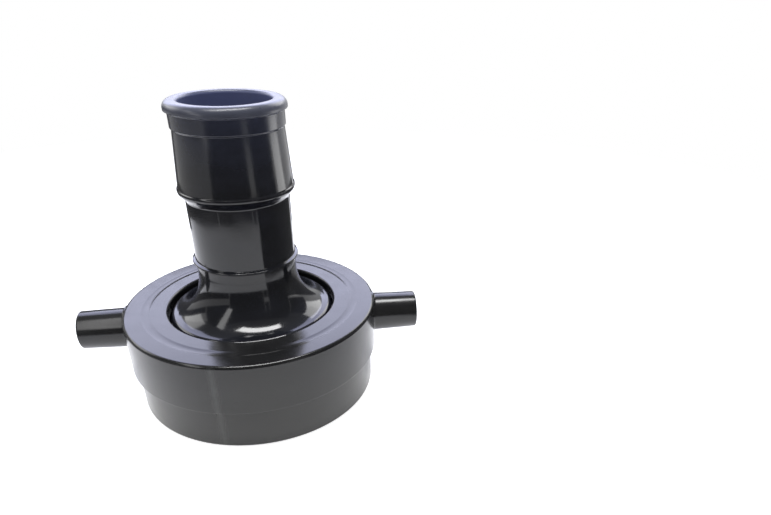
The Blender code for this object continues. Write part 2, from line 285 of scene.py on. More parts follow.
class Finish(PropertyGroup):
    """Colours of the mouldings and the washer, and how far the plastic is from a mirror."""

    nut_colour: colour("Nut", "Gloss black plastic", (0.010, 0.010, 0.0105))
    nut_pale: colour("Nut flow marks", "Paler streaks in it", (0.016, 0.016, 0.0165))
    nut_roughness: share("Nut roughness", "Where the nut is glossiest", 0.17)
    # Painted highlight: this pale line stands in for the reflection of a tall light on the wall
    painted_highlight_line: colour("Weld line", "Paler line on the wall of the nut", (0.055, 0.058, 0.056))
    tail_colour: colour("Tail", "High gloss black plastic", (0.008, 0.0085, 0.011))
    tail_pale: colour("Tail flow marks", "Paler streaks in it", (0.012, 0.013, 0.018))
    tail_roughness: share("Tail roughness", "Where the tail is glossiest", 0.09)
    # Painted reflection: bluish, for window light seen in the tube and up the barb
    painted_blue_reflection: colour("Blue haze", "Dull bloom in the tube and up the barb", (0.100, 0.117, 0.235))
    # Partly wear and partly painted reflection: a paler grey on the bead
    worn_grey_and_painted_sheen: colour("Grey haze", "Dull bloom on the bead", (0.138, 0.145, 0.172))
    rubber_colour: colour("Rubber", "Matt black rubber", (0.022, 0.022, 0.022))
    rubber_pale: colour("Rubber dust", "Chalky bloom on it", (0.060, 0.058, 0.055))


class Studio(PropertyGroup):
    """Brightness of the lights, of the cards that the gloss mirrors, and of the floor."""

    room: brightness("Room", "Light of the room", 0.35)
    window: brightness("Window", "Large soft light behind", 3.6)
    strip: brightness("Strip", "Narrow light overhead", 17.0)
    side: brightness("Side", "Small light at the right", 3.0)
    left: brightness("Left", "Soft light at the back left", 2.7)
    right: brightness("Right", "Soft light at the back right", 4.0)
    white_card: brightness("White card", "Sloped card at the left", 3.5)
    grey_card: brightness("Grey card", "Low card at the left", 0.7)
    dark_card: brightness("Dark cards", "Cards all round", 0.12)
    ceiling: brightness("Ceiling", "Dim card above", 0.25)
    floor_glow: brightness("Floor glow", "Paleness added to the floor", 0.5)
    # Painted light: a glow round the nut that covers its shadow and brightens what the wall mirrors
    painted_foot_light: brightness("Foot glow", "More of it round the nut", 0.35)


def deselect_all():
    """Leaves edit mode and deselects everything."""
    if bpy.context.object and bpy.context.object.mode != "OBJECT":
        bpy.ops.object.mode_set(mode="OBJECT")
    bpy.ops.object.select_all(action="DESELECT")


def choose(piece):
    """Makes one object the selected and active one."""
    deselect_all()
    piece.select_set(True)
    bpy.context.view_layer.objects.active = piece


def apply_modifier(piece, modifier):
    """Makes the work of a modifier part of the mesh."""
    choose(piece)
    bpy.ops.object.modifier_apply(modifier=modifier.name)


def pick_vertices(piece, test):
    """In edit mode, selects the vertices that pass a test, and nothing else."""
    bpy.ops.mesh.select_mode(type="VERT")
    bpy.ops.mesh.select_all(action="DESELECT")
    work = bmesh.from_edit_mesh(piece.data)
    for vertex in work.verts:
        vertex.select = test(vertex.co)
    work.select_flush_mode()
    bmesh.update_edit_mesh(piece.data)


def near(place):
    """A test for the point of a section at (radius, height)."""
    target = Vector((place[0], 0.0, place[1]))
    return lambda co: (co - target).length < MERGE_DISTANCE


def draw_section(name, points, roundings=()):
    """Draws a closed section in the XZ plane point by point, then rounds the corners
    that roundings lists as (cut back, [points])."""
    deselect_all()
    bpy.ops.mesh.primitive_plane_add(size=points[0][0])
    section = bpy.context.object
    section.name = section.data.name = name
    bpy.ops.object.mode_set(mode="EDIT")
    bpy.ops.mesh.select_mode(type="VERT")
    bpy.ops.mesh.merge(type="CENTER")
    bpy.ops.transform.translate(value=(points[0][0], 0.0, points[0][1]))
    for (r0, z0), (r1, z1) in zip(points, points[1:]):
        step = (r1 - r0, 0.0, z1 - z0)
        bpy.ops.mesh.extrude_vertices_move(TRANSFORM_OT_translate={"value": step})
    ends = near(points[0]), near(points[-1])
    pick_vertices(section, lambda co: any(end(co) for end in ends))
    bpy.ops.mesh.edge_face_add()
    for cut_back, corners in roundings:
        tests = [near(corner) for corner in corners]
        pick_vertices(section, lambda co: any(test(co) for test in tests))
        bpy.ops.mesh.bevel(offset=cut_back, segments=ARC_SEGMENTS, affect="VERTICES")
    return section


def turn(section, facets):
    """Spins a section once round the axis into a closed solid."""
    bpy.ops.mesh.select_all(action="SELECT")
    bpy.ops.mesh.spin(steps=facets, angle=math.tau, center=(0, 0, 0), axis=(0, 0, 1))
    bpy.ops.mesh.select_all(action="SELECT")
    bpy.ops.mesh.remove_doubles(threshold=MERGE_DISTANCE)
    bpy.ops.mesh.normals_make_consistent(inside=False)
    bpy.ops.object.mode_set(mode="OBJECT")
    return section


def combine(piece, tool, operation):
    """Cuts a tool away from a piece, or unites the two, and removes the tool. Points that
    this leaves almost on each other are merged, so that the mesh stays closed."""
    modifier = piece.modifiers.new(tool.name, "BOOLEAN")
    modifier.object = tool
    modifier.operation = operation
    modifier.solver = "EXACT"
    apply_modifier(piece, modifier)
    bpy.data.objects.remove(tool, do_unlink=True)
    bpy.ops.object.mode_set(mode="EDIT")
    bpy.ops.mesh.select_all(action="SELECT")
    bpy.ops.mesh.remove_doubles(threshold=MERGE_DISTANCE)
    bpy.ops.object.mode_set(mode="OBJECT")


def finish_piece(piece, body, node, material):
    """Shades a piece, gives it its material, and puts it in the place of its CAD node."""
    choose(piece)
    bpy.ops.object.shade_smooth_by_angle(angle=SMOOTH_ANGLE)
    weights = piece.modifiers.new("flat_faces_first", "WEIGHTED_NORMAL")
    weights.keep_sharp = True
    apply_modifier(piece, weights)
    piece.data.materials.clear()
    piece.data.materials.append(material)
    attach(piece, body)
    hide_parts(node)


def curve_points(start, start_handle, end_handle, end, steps=CURVE_STEPS):
    """Points of one curved stretch of a section."""
    knots = [Vector((r, 0.0, z)) for r, z in (start, start_handle, end_handle, end)]
    return [(point.x, point.z) for point in interpolate_bezier(*knots, steps + 1)]


def arc_points(centre, radius, start, end, steps):
    """Points of an arc in a section, with its angles in degrees from outwards."""
    turns = [math.radians(start + (end - start) * i / steps) for i in range(steps + 1)]
    return [(centre[0] + radius * math.cos(a), centre[1] + radius * math.sin(a)) for a in turns]


def nut_body(nut, thread):
    """The nut without its thread and lugs."""
    top = nut.height
    underside = top - nut.lip_thickness
    groove_half = nut.groove_width / 2
    hollow = (groove_half ** 2 + nut.groove_depth ** 2) / (2 * nut.groove_depth)
    groove_turn = math.degrees(math.asin(groove_half / hollow))
    entry = thread.major + thread.entry
    foot = (nut.mouth_radius, 0.0)
    step_low = (nut.mouth_radius, nut.mouth_height - nut.step_slope)
    step_high = (nut.radius, nut.mouth_height)
    crown = (nut.radius, top)
    groove = arc_points((nut.groove_radius, top - nut.groove_depth + hollow), hollow,
                        groove_turn - 90.0, -groove_turn - 90.0, 2 * ARC_SEGMENTS)
    hole = (nut.lip_hole_radius, top)
    lip_corner = (nut.lip_hole_radius, underside)
    chamber = [
        (nut.relief_radius, underside),
        (nut.relief_radius, thread.length_up),
    ]
    thread_end = (thread.minor, thread.length_up)
    chamfer = [(thread.minor, entry - thread.minor), (entry, 0.0)]
    points = [foot, step_low, step_high, crown, *groove, hole, lip_corner, *chamber,
              thread_end, *chamfer]
    roundings = [
        (nut.mouth_edge, [foot]),
        (nut.top_edge, [crown]),
        (nut.lip_hole_edge, [hole]),
        (nut.small_edge, [step_low, step_high, groove[0], groove[-1], lip_corner, *chamber,
                          thread_end, chamfer[1]]),
    ]
    return turn(draw_section("swivel_nut_moulding", points, roundings), NUT_FACETS)


def thread_groove(thread):
    """The space between the threads: its section runs up a helix from below the mouth."""
    inner = thread.minor - CREST_OVERCUT
    depth = thread.major - inner
    steep = depth * math.tan(thread.steep_flank)
    sloped = depth * math.tan(thread.sloped_flank)
    low_root = (thread.major, steep)
    high_root = (thread.major, steep + thread.root_width)
    points = [(inner, 0.0), low_root, high_root, (inner, high_root[1] + sloped)]
    points = [(r, z - thread.pitch) for r, z in points]
    groove = draw_section("thread_groove", points, [(thread.root_edge, points[1:3])])
    bpy.ops.object.mode_set(mode="OBJECT")
    helix = groove.modifiers.new("helix", "SCREW")
    helix.axis = "Z"
    helix.screw_offset = thread.pitch
    helix.iterations = HELIX_TURNS
    helix.steps = helix.render_steps = THREAD_FACETS
    helix.use_merge_vertices = False
    apply_modifier(groove, helix)
    bpy.ops.object.mode_set(mode="EDIT")
    bpy.ops.mesh.select_all(action="SELECT")
    bpy.ops.mesh.fill_holes(sides=0)
    bpy.ops.mesh.normals_make_consistent(inside=False)
    bpy.ops.object.mode_set(mode="OBJECT")
    return groove


def lug_blank(nut, side):
    """One lug: a drafted round bar with a rounded end and a fillet that fits the wall."""
    start = nut.radius + nut.lug_fillet
    deselect_all()
    bpy.ops.mesh.primitive_cylinder_add(
        vertices=LUG_FACETS, radius=nut.lug_root, depth=nut.lug_reach - start,
        location=(side * (nut.lug_reach + start) / 2, 0.0, nut.lug_height),
        rotation=(0.0, side * math.pi / 2, 0.0))
    lug = bpy.context.object
    lug.name = lug.data.name = "lug_blank"
    bpy.ops.object.transform_apply(location=True, rotation=True, scale=True)
    axis = Vector((0.0, 0.0, nut.lug_height))
    bpy.ops.object.mode_set(mode="EDIT")
    pick_vertices(lug, lambda co: side * co.x > nut.lug_reach - MERGE_DISTANCE)
    draft = nut.lug_tip / nut.lug_root
    bpy.ops.transform.resize(value=(1.0, draft, draft), center_override=axis)
    bpy.ops.mesh.bevel(offset=nut.lug_edge, segments=ARC_SEGMENTS, affect="EDGES")
    pick_vertices(lug, lambda co: side * co.x < start + MERGE_DISTANCE)
    flare = arc_points((0.0, 0.0), nut.lug_fillet, 0.0, 90.0, ARC_SEGMENTS)
    for (across, along), (next_across, next_along) in zip(flare, flare[1:]):
        inward = side * (along - next_along)
        before = nut.lug_root + nut.lug_fillet - across
        after = nut.lug_root + nut.lug_fillet - next_across
        bpy.ops.mesh.extrude_region_move(TRANSFORM_OT_translate={"value": (inward, 0.0, 0.0)})
        grow = after / before
        bpy.ops.transform.resize(value=(1.0, grow, grow), center_override=axis)
    fit_to_wall(lug, nut, side, start)
    bpy.ops.mesh.extrude_region_move(
        TRANSFORM_OT_translate={"value": (-side * LUG_SINK, 0.0, 0.0)})
    bpy.ops.mesh.select_all(action="SELECT")
    bpy.ops.mesh.normals_make_consistent(inside=False)
    bpy.ops.object.mode_set(mode="OBJECT")
    return lug


def fit_to_wall(lug, nut, side, start):
    """Moves the rings of the fillet in along X, so that they follow the round wall."""
    work = bmesh.from_edit_mesh(lug.data)
    wall = nut.radius - FIT_DEPTH
    for vertex in work.verts:
        if side * vertex.co.x < start + MERGE_DISTANCE:
            hollow = nut.radius - math.sqrt(wall ** 2 - vertex.co.y ** 2)
            vertex.co.x -= side * hollow
    bmesh.update_edit_mesh(lug.data)


class COUPLING_OT_swivel_nut(Operator):
    """Model the swivel nut with its thread and lugs"""

    bl_idname = "coupling.swivel_nut"
    bl_label = "Swivel nut"

    def execute(self, context):
        scene = context.scene
        nut, thread, finish = scene.coupling_nut, scene.coupling_thread, scene.coupling_finish
        piece = nut_body(nut, thread)
        for side in (-1, 1):
            combine(piece, lug_blank(nut, side), "UNION")
        combine(piece, thread_groove(thread), "DIFFERENCE")
        material = gloss_plastic("nut_gloss_black", finish.nut_colour, finish.nut_pale,
                                 finish.nut_roughness)
        # Paints the pale highlight line that stands in for a reflection on the wall of the nut
        paint_highlight_line(material.node_tree, nut, finish.painted_highlight_line)
        finish_piece(piece, "nut", "swivel_nut", material)
        return {"FINISHED"}


class COUPLING_OT_sealing_washer(Operator):
    """Model the rubber washer between the thread and the flange"""

    bl_idname = "coupling.sealing_washer"
    bl_label = "Sealing washer"

    def execute(self, context):
        sizes, finish = context.scene.coupling_washer, context.scene.coupling_finish
        low, high = WASHER_LOW.z, WASHER_HIGH.z
        lead = (sizes.radius, low + sizes.lead_rise)
        corners = [(sizes.bore, low), lead, (sizes.radius, high), (sizes.bore, high)]
        points = [corners[0], (sizes.seal_radius, low), *corners[1:]]
        section = draw_section("sealing_washer_ring", points, [(sizes.edge, corners)])
        piece = turn(section, NUT_FACETS)
        material = matt_rubber("washer_matt_rubber", finish.rubber_colour, finish.rubber_pale)
        finish_piece(piece, "washer", "sealing_washer", material)
        return {"FINISHED"}


def tail_outside(tail, levels):
    """The outside of the tail, from the flange up to the bead, and the corners to round."""
    ridge = tail.tube_radius + tail.barb_proud + tail.barb_lip
    ring = tail.tube_radius + tail.ring_proud
    band = tail.tube_radius + tail.band_proud
    nose = tail.tube_radius + tail.nose_proud
    flange = [
        (tail.flange_radius, levels["flange_bottom"]),
        (tail.flange_radius, levels["flange_top"]),
    ]
    inner_corner = (tail.shoulder_radius, levels["flange_top"])
    centre = (tail.shoulder_radius - tail.shoulder_edge,
              levels["shoulder_top"] - tail.shoulder_edge)
    shoulder = arc_points(centre, tail.shoulder_edge, 0.0, SHOULDER_ROLL, 2 * ARC_SEGMENTS)
    crown = shoulder[-1]
    flare = curve_points(
        crown,
        (crown[0] - tail.flare_foot_reach, crown[1] + tail.flare_foot_lift),
        (tail.tube_radius, levels["flare_top"] - tail.flare_neck_reach),
        (tail.tube_radius, levels["flare_top"]))
    stop_ring = [
        (tail.tube_radius, levels["ring_bottom"]),
        (ring, levels["ring_bottom"] + tail.ring_slope),
        (ring, levels["ring_top"] - tail.ring_slope),
        (tail.tube_radius, levels["ring_top"]),
    ]
    back = curve_points(
        (tail.tube_radius, levels["barb_back"]),
        (tail.tube_radius, levels["barb_back"] + tail.barb_back_reach),
        (ridge, levels["ridge"] - tail.barb_back_reach),
        (ridge, levels["ridge"]),
        2 * ARC_SEGMENTS)
    ridge_top = (ridge, levels["ridge"] + tail.ridge_width)
    lip_foot = (ridge - tail.barb_lip, ridge_top[1] + tail.barb_lip)
    barb_nose = (nose, levels["barb_nose"])
    grip_band = [
        (band, levels["barb_nose"] + tail.band_line),
        (band, levels["band_top"]),
    ]
    bead_foot = (tail.tube_radius + tail.bead_proud, levels["band_top"] + tail.band_line)
    points = [*flange, inner_corner, *shoulder, *flare[1:], *stop_ring, *back, ridge_top,
              lip_foot, barb_nose, *grip_band, bead_foot]
    roundings = [
        (tail.flange_edge, flange),
        (tail.ring_edge, stop_ring[1:3]),
        (FINE_EDGE, [inner_corner, flare[-1], stop_ring[0], stop_ring[3], back[-1], ridge_top,
                     lip_foot, barb_nose, *grip_band, bead_foot]),
    ]
    return points, roundings


def tail_inside(tail, levels):
    """The bore of the tail, from the rim down through the funnel to the flange."""
    bore = tail.tube_radius - tail.tube_wall
    mouth = tail.shoulder_radius - tail.shoulder_wall
    funnel_top = levels["flare_top"] - tail.funnel_set_back
    funnel_foot = levels["shoulder_top"] - tail.shoulder_wall
    rim = (bore, TAIL_HIGH.z)
    foot = (mouth, levels["flange_bottom"])
    funnel = curve_points(
        (bore, funnel_top),
        (bore, funnel_top - tail.funnel_neck_reach),
        (mouth, funnel_foot + tail.funnel_foot_reach),
        (mouth, funnel_foot))
    return [rim, *funnel, foot], [(tail.rim_edge, [rim]), (tail.flange_edge, [foot])]


def tail_levels(tail):
    """Heights of the features of the tail, from its flange upwards."""
    levels = {"flange_bottom": TAIL_LOW.z}
    steps = [
        ("flange_top", tail.flange_thickness),
        ("shoulder_top", tail.shoulder_height),
        ("flare_top", tail.flare_height),
        ("ring_bottom", tail.ring_rise),
        ("ring_top", tail.ring_height),
        ("barb_back", tail.plain_length),
        ("ridge", tail.barb_back),
        ("barb_nose", tail.ridge_width + tail.barb_length),
        ("band_top", tail.band_line + tail.band_length),
        ("bead_top", tail.band_line + tail.bead_length),
    ]
    level = TAIL_LOW.z
    for name, rise in steps:
        level += rise
        levels[name] = level
    return levels


class COUPLING_OT_hose_tail(Operator):
    """Model the flanged tail with its flare, stop ring, barb, band and bead"""

    bl_idname = "coupling.hose_tail"
    bl_label = "Hose tail"

    def execute(self, context):
        tail, finish = context.scene.coupling_tail, context.scene.coupling_finish
        levels = tail_levels(tail)
        outside, outer_roundings = tail_outside(tail, levels)
        inside, inner_roundings = tail_inside(tail, levels)
        rim = tail.tube_radius - tail.tube_wall + tail.rim_thickness
        nose_radius = tail.tube_radius + tail.bead_proud - rim
        nose = arc_points((rim, levels["bead_top"]), nose_radius, 0.0, 90.0, 2 * ARC_SEGMENTS)
        section = draw_section("hose_tail_moulding", outside + nose + inside,
                               outer_roundings + inner_roundings)
        piece = turn(section, TAIL_FACETS)
        material = gloss_plastic("tail_gloss_black", finish.tail_colour, finish.tail_pale,
                                 finish.tail_roughness)
        dull_end_and_paint_sheen(material.node_tree, tail, finish.painted_blue_reflection, finish.worn_grey_and_painted_sheen)
        finish_piece(piece, "tail", "hose_tail", material)
        return {"FINISHED"}


def texture_place(tree):
    """The place on the piece, in metres, which all patterns follow."""
    return tree.nodes.new("ShaderNodeTexCoord").outputs["Object"]


def noise(tree, place, size, detail=2.0, stretch=(1.0, 1.0, 1.0)):
    """A noise whose features are about as large as size, in metres."""
    mapping = tree.nodes.new("ShaderNodeMapping")
    mapping.inputs["Scale"].default_value = [1.0 / (size * s) for s in stretch]
    tree.links.new(place, mapping.inputs["Vector"])
    texture = tree.nodes.new("ShaderNodeTexNoise")
    texture.inputs["Scale"].default_value = 1.0
    texture.inputs["Detail"].default_value = detail
    tree.links.new(mapping.outputs["Vector"], texture.inputs["Vector"])
    return texture.outputs["Fac"]


def spread(tree, value, low, high, to_low, to_high):
    """Stretches the part of a value from low to high over a new range."""
    node = tree.nodes.new("ShaderNodeMapRange")
    for socket, number in zip(("From Min", "From Max", "To Min", "To Max"),
                              (low, high, to_low, to_high)):
        node.inputs[socket].default_value = number
    tree.links.new(value, node.inputs["Value"])
    return node.outputs["Result"]


def blend_colours(tree, factor, first, second):
    """Mixes two colours, the first of which may come from another node."""
    node = tree.nodes.new("ShaderNodeMix")
    node.data_type = "RGBA"
    if isinstance(first, bpy.types.NodeSocket):
        tree.links.new(first, node.inputs["A"])
    else:
        node.inputs["A"].default_value = (*first, 1.0)
    node.inputs["B"].default_value = (*second, 1.0)
    tree.links.new(factor, node.inputs["Factor"])
    return node.outputs["Result"]


def arithmetic(tree, operation, *values):
    """One step of arithmetic on numbers and on what comes from other nodes."""
    node = tree.nodes.new("ShaderNodeMath")
    node.operation = operation
    for socket, value in zip(node.inputs, values):
        if isinstance(value, bpy.types.NodeSocket):
            tree.links.new(value, socket)
        else:
            socket.default_value = value
    return node.outputs["Value"]


def product(tree, *factors):
    """Multiplies any number of values."""
    result = factors[0]
    for factor in factors[1:]:
        result = arithmetic(tree, "MULTIPLY", result, factor)
    return result


def largest(tree, *values):
    """The largest of any number of values."""
    result = values[0]
    for value in values[1:]:
        result = arithmetic(tree, "MAXIMUM", result, value)
    return result


def along_axes(tree, place):
    """The X, Y and Z of a place."""
    split = tree.nodes.new("ShaderNodeSeparateXYZ")
    tree.links.new(place, split.inputs["Vector"])
    return [split.outputs[axis] for axis in "XYZ"]


def flattened(tree, place):
    """A place with its height taken away."""
    node = tree.nodes.new("ShaderNodeVectorMath")
    node.operation = "MULTIPLY"
    node.inputs[1].default_value = (1.0, 1.0, 0.0)
    tree.links.new(place, node.inputs[0])
    return node.outputs["Vector"]


def distance_from_origin(tree, place):
    """How far a place is from the middle of the mouth of the nut."""
    node = tree.nodes.new("ShaderNodeVectorMath")
    node.operation = "LENGTH"
    tree.links.new(place, node.inputs[0])
    return node.outputs["Value"]


def bump(tree, height, depth, below=None):
    """A relief of the given depth in metres, laid over another one."""
    node = tree.nodes.new("ShaderNodeBump")
    node.inputs["Distance"].default_value = depth
    tree.links.new(height, node.inputs["Height"])
    if below is not None:
        tree.links.new(below, node.inputs["Normal"])
    return node.outputs["Normal"]


def new_material(name):
    """A new material, with its nodes and the shader among them."""
    material = bpy.data.materials.new(name)
    material.use_nodes = True
    tree = material.node_tree
    return material, tree, tree.nodes["Principled BSDF"]


def tint(tree, factor, shade):
    """Mixes the base colour that a material has so far towards a shade."""
    base_colour = tree.nodes["Principled BSDF"].inputs["Base Color"]
    so_far = base_colour.links[0].from_socket
    tree.links.new(blend_colours(tree, factor, so_far, shade), base_colour)


def paint_highlight_line(tree, nut, pale):
    """Paints a pale upright highlight on the front of the nut, for a tall light's reflection."""
    place = texture_place(tree)
    x, y, z = along_axes(tree, place)
    side = nut.radius * math.sin(HIGHLIGHT_LINE_HEADING)
    offset = arithmetic(tree, "ABSOLUTE", arithmetic(tree, "ADD", x, side))
    line = spread(tree, offset, 0.0, HIGHLIGHT_LINE_REACH, 1.0, 0.0)
    fade_start, fade_end = (nut.radius * fade for fade in HIGHLIGHT_LINE_FADE)
    front = spread(tree, y, fade_start, fade_end, 1.0, 0.0)
    wall = spread(tree, z, nut.height - nut.top_edge, nut.height, 1.0, 0.0)
    patches = spread(tree, noise(tree, place, HIGHLIGHT_LINE_PATCH_SIZE), *HIGHLIGHT_LINE_PATCH_BAND,
                     *HIGHLIGHT_LINE_PATCH_STRENGTH)
    tint(tree, product(tree, line, front, wall, patches), pale)


def dull_end_and_paint_sheen(tree, tail, painted_blue_reflection, worn_grey_and_painted_sheen):
    """Dulls the tail in its tube and, less so, towards its rim, and paints reflections there."""
    place = texture_place(tree)
    height = along_axes(tree, place)[2]
    bore = tail.tube_radius - tail.tube_wall
    from_axis = distance_from_origin(tree, flattened(tree, place))
    inside = spread(tree, from_axis, bore + tail.rim_edge / 2, bore, 0.0, 1.0)
    levels = tail_levels(tail)
    ridge, band_top = levels["barb_nose"] - tail.barb_length, levels["band_top"]
    rise = spread(tree, height, ridge, TAIL_HIGH.z, 0.0, 1.0)
    outside = product(tree, arithmetic(tree, "POWER", rise, SHEEN_AND_DULLING_RISE_POWER), RIM_SHEEN_AND_DULLING)
    bead = spread(tree, height, band_top, band_top + tail.band_line, 0.0, BEAD_WEAR_AND_SHEEN)
    # Painted reflection: the bluish tint stands in for window light in the tube and up the barb
    tint(tree, outside, painted_blue_reflection)
    # The grey on the bead is partly wear and partly a painted reflection of the pale sky
    tint(tree, bead, worn_grey_and_painted_sheen)
    tint(tree, inside, painted_blue_reflection)
    haze = largest(tree, inside, outside, bead)
    dull = product(tree, arithmetic(tree, "POWER", haze, HAZE_ROUGHNESS_POWER), HAZE_ROUGHNESS)
    roughness = tree.nodes["Principled BSDF"].inputs["Roughness"]
    tree.links.new(arithmetic(tree, "ADD", roughness.links[0].from_socket, dull), roughness)


def gloss_plastic(name, base, pale, roughness):
    """Moulded gloss plastic: flow marks, a waviness from shrinkage, orange peel, scuffs."""
    material, tree, shader = new_material(name)
    place = texture_place(tree)
    streaks = noise(tree, place, FLOW_SIZE, detail=3.0, stretch=FLOW_STRETCH)
    flow = spread(tree, streaks, *FLOW_BAND, 0.0, 1.0)
    tree.links.new(blend_colours(tree, flow, base, pale), shader.inputs["Base Color"])
    clouds = spread(tree, noise(tree, place, CLOUD_SIZE, detail=4.0), *CLOUD_BAND,
                    roughness, roughness + CLOUD_ROUGHNESS)
    scratches = noise(tree, place, SCUFF_SIZE, detail=3.0, stretch=SCUFF_STRETCH)
    scuffs = spread(tree, scratches, *SCUFF_BAND, 0.0, SCUFF_ROUGHNESS)
    tree.links.new(arithmetic(tree, "ADD", clouds, scuffs), shader.inputs["Roughness"])
    waves = bump(tree, noise(tree, place, WAVE_SIZE, detail=1.0), WAVE_DEPTH)
    peel = bump(tree, noise(tree, place, PEEL_SIZE, detail=1.0), PEEL_DEPTH, below=waves)
    tree.links.new(peel, shader.inputs["Normal"])
    shader.inputs["IOR"].default_value = PLASTIC_IOR
    return material


def matt_rubber(name, base, bloom):
    """Matt rubber with a fine grain and a faint chalky bloom."""
    material, tree, shader = new_material(name)
    place = texture_place(tree)
    dust = spread(tree, noise(tree, place, DUST_SIZE, detail=5.0), *DUST_BAND, 0.0, 1.0)
    tree.links.new(blend_colours(tree, dust, base, bloom), shader.inputs["Base Color"])
    patches = noise(tree, place, RUBBER_PATCH_SIZE, detail=3.0)
    rough = spread(tree, patches, *RUBBER_PATCH_BAND, *RUBBER_ROUGHNESS)
    tree.links.new(rough, shader.inputs["Roughness"])
    grain = bump(tree, noise(tree, place, GRAIN_SIZE), GRAIN_DEPTH)
    tree.links.new(grain, shader.inputs["Normal"])
    return material


def seen_directly(tree):
    """1 where a ray comes from the camera, a reflection or through glass, otherwise 0."""
    path = tree.nodes.new("ShaderNodeLightPath")
    rays = ("Is Camera Ray", "Is Glossy Ray", "Is Transmission Ray")
    return largest(tree, *(path.outputs[ray] for ray in rays))


def make_world(studio):
    """A room with soft light, which is plain white where it is seen."""
    world = bpy.data.worlds.new("studio_room")
    world.use_nodes = True
    tree = world.node_tree
    room = tree.nodes["Background"]
    room.inputs["Color"].default_value = ROOM_COLOUR
    room.inputs["Strength"].default_value = studio.room
    white = tree.nodes.new("ShaderNodeBackground")
    white.inputs["Color"].default_value = WHITE
    white.inputs["Strength"].default_value = 1.0
    mix = tree.nodes.new("ShaderNodeMixShader")
    tree.links.new(seen_directly(tree), mix.inputs["Fac"])
    tree.links.new(room.outputs["Background"], mix.inputs[1])
    tree.links.new(white.outputs["Background"], mix.inputs[2])
    tree.links.new(mix.outputs["Shader"], tree.nodes["World Output"].inputs["Surface"])
    bpy.context.scene.world = world


def make_floor(studio):
    """A pale floor that fades into white, whose shadow painted light round the foot covers."""
    deselect_all()
    bpy.ops.mesh.primitive_plane_add(size=FLOOR_SIZE, location=(0.0, 0.0, -FLOOR_DROP))
    floor = bpy.context.object
    floor.name = floor.data.name = "pale_floor"
    material, tree, shader = new_material("pale_floor")
    place = texture_place(tree)
    tone = spread(tree, noise(tree, place, FLOOR_TONE_SIZE), *FLOOR_TONE_BAND, *FLOOR_TONE)
    distance = distance_from_origin(tree, place)
    nearby = spread(tree, distance, *FLOOR_FADE, 1.0, 0.0)
    tree.links.new(product(tree, tone, nearby), shader.inputs["Base Color"])
    shader.inputs["Roughness"].default_value = FLOOR_ROUGHNESS
    shader.inputs["Specular IOR Level"].default_value = 0.0
    shader.inputs["Emission Color"].default_value = WHITE
    far_glow = spread(tree, nearby, 0.0, 1.0, 1.0, studio.floor_glow)
    # Painted light round the foot of the nut, which covers its shadow on the floor
    painted_foot_light = spread(tree, distance, *PAINTED_FOOT_LIGHT_FADE, studio.painted_foot_light, 0.0)
    glow = product(tree, seen_directly(tree), arithmetic(tree, "ADD", far_glow, painted_foot_light))
    tree.links.new(glow, shader.inputs["Emission Strength"])
    floor.data.materials.append(material)


def round_card(name, radius, start, end, low, high, shine):
    """A curved card from low to high that only reflections see. Its ends are headings in
    degrees from the camera's side, positive towards the right of the photograph."""
    deselect_all()
    bpy.ops.mesh.primitive_circle_add(vertices=CARD_FACETS, radius=radius,
                                      fill_type="NOTHING", location=(0.0, 0.0, low))
    card = bpy.context.object
    bpy.ops.object.mode_set(mode="EDIT")

    def outside(co):
        heading = math.degrees(math.atan2(co.x, -co.y)) - CAMERA_SIDE
        return not start <= heading <= end

    pick_vertices(card, outside)
    bpy.ops.mesh.delete(type="VERT")
    bpy.ops.mesh.select_all(action="SELECT")
    bpy.ops.mesh.extrude_region_move(TRANSFORM_OT_translate={"value": (0.0, 0.0, high - low)})
    bpy.ops.object.mode_set(mode="OBJECT")
    keep_to_reflections(card, name, shine)


def keep_to_reflections(card, name, shine):
    """Paints a card one even brightness and hides it from everything but reflections."""
    card.name = card.data.name = name
    material, _, shader = new_material(name)
    shader.inputs["Base Color"].default_value = BLACK
    shader.inputs["Specular IOR Level"].default_value = 0.0
    shader.inputs["Emission Color"].default_value = WHITE
    shader.inputs["Emission Strength"].default_value = shine
    card.data.materials.append(material)
    card.visible_camera = card.visible_diffuse = card.visible_shadow = False
    card.visible_transmission = False


def flat_card(name, place, width, depth, slope, shine):
    """A flat card that only reflections see, sloped up towards the back by some degrees."""
    deselect_all()
    bpy.ops.mesh.primitive_plane_add(size=1.0, location=place,
                                     rotation=(math.radians(slope), 0.0, 0.0))
    bpy.ops.transform.resize(value=(width, depth, 1.0), orient_type="LOCAL")
    bpy.ops.object.transform_apply(location=False, rotation=False, scale=True)
    keep_to_reflections(bpy.context.object, name, shine)


def soft_light(name, place, width, height, shine, hue=(1.0, 1.0, 1.0)):
    """A rectangular light turned to the middle of the object, whose surface is as bright as
    shine says, where 1 is white."""
    data = bpy.data.lights.new(name, "AREA")
    data.shape = "RECTANGLE"
    data.size, data.size_y = width, height
    data.energy = shine * math.pi * width * height
    data.color = hue
    lamp = bpy.data.objects.new(name, data)
    bpy.context.scene.collection.objects.link(lamp)
    lamp.location = place
    lamp.rotation_euler = (LIT_MIDDLE - place).to_track_quat("-Z", "Y").to_euler()
    lamp.visible_camera = False


def from_heading(heading, elevation, distance):
    """A place round the foot of the object, by its heading in degrees from the camera's
    side and its elevation in degrees."""
    turn_z, rise = math.radians(heading + CAMERA_SIDE), math.radians(elevation)
    flat = distance * math.cos(rise)
    return Vector((flat * math.sin(turn_z), -flat * math.cos(turn_z), distance * math.sin(rise)))


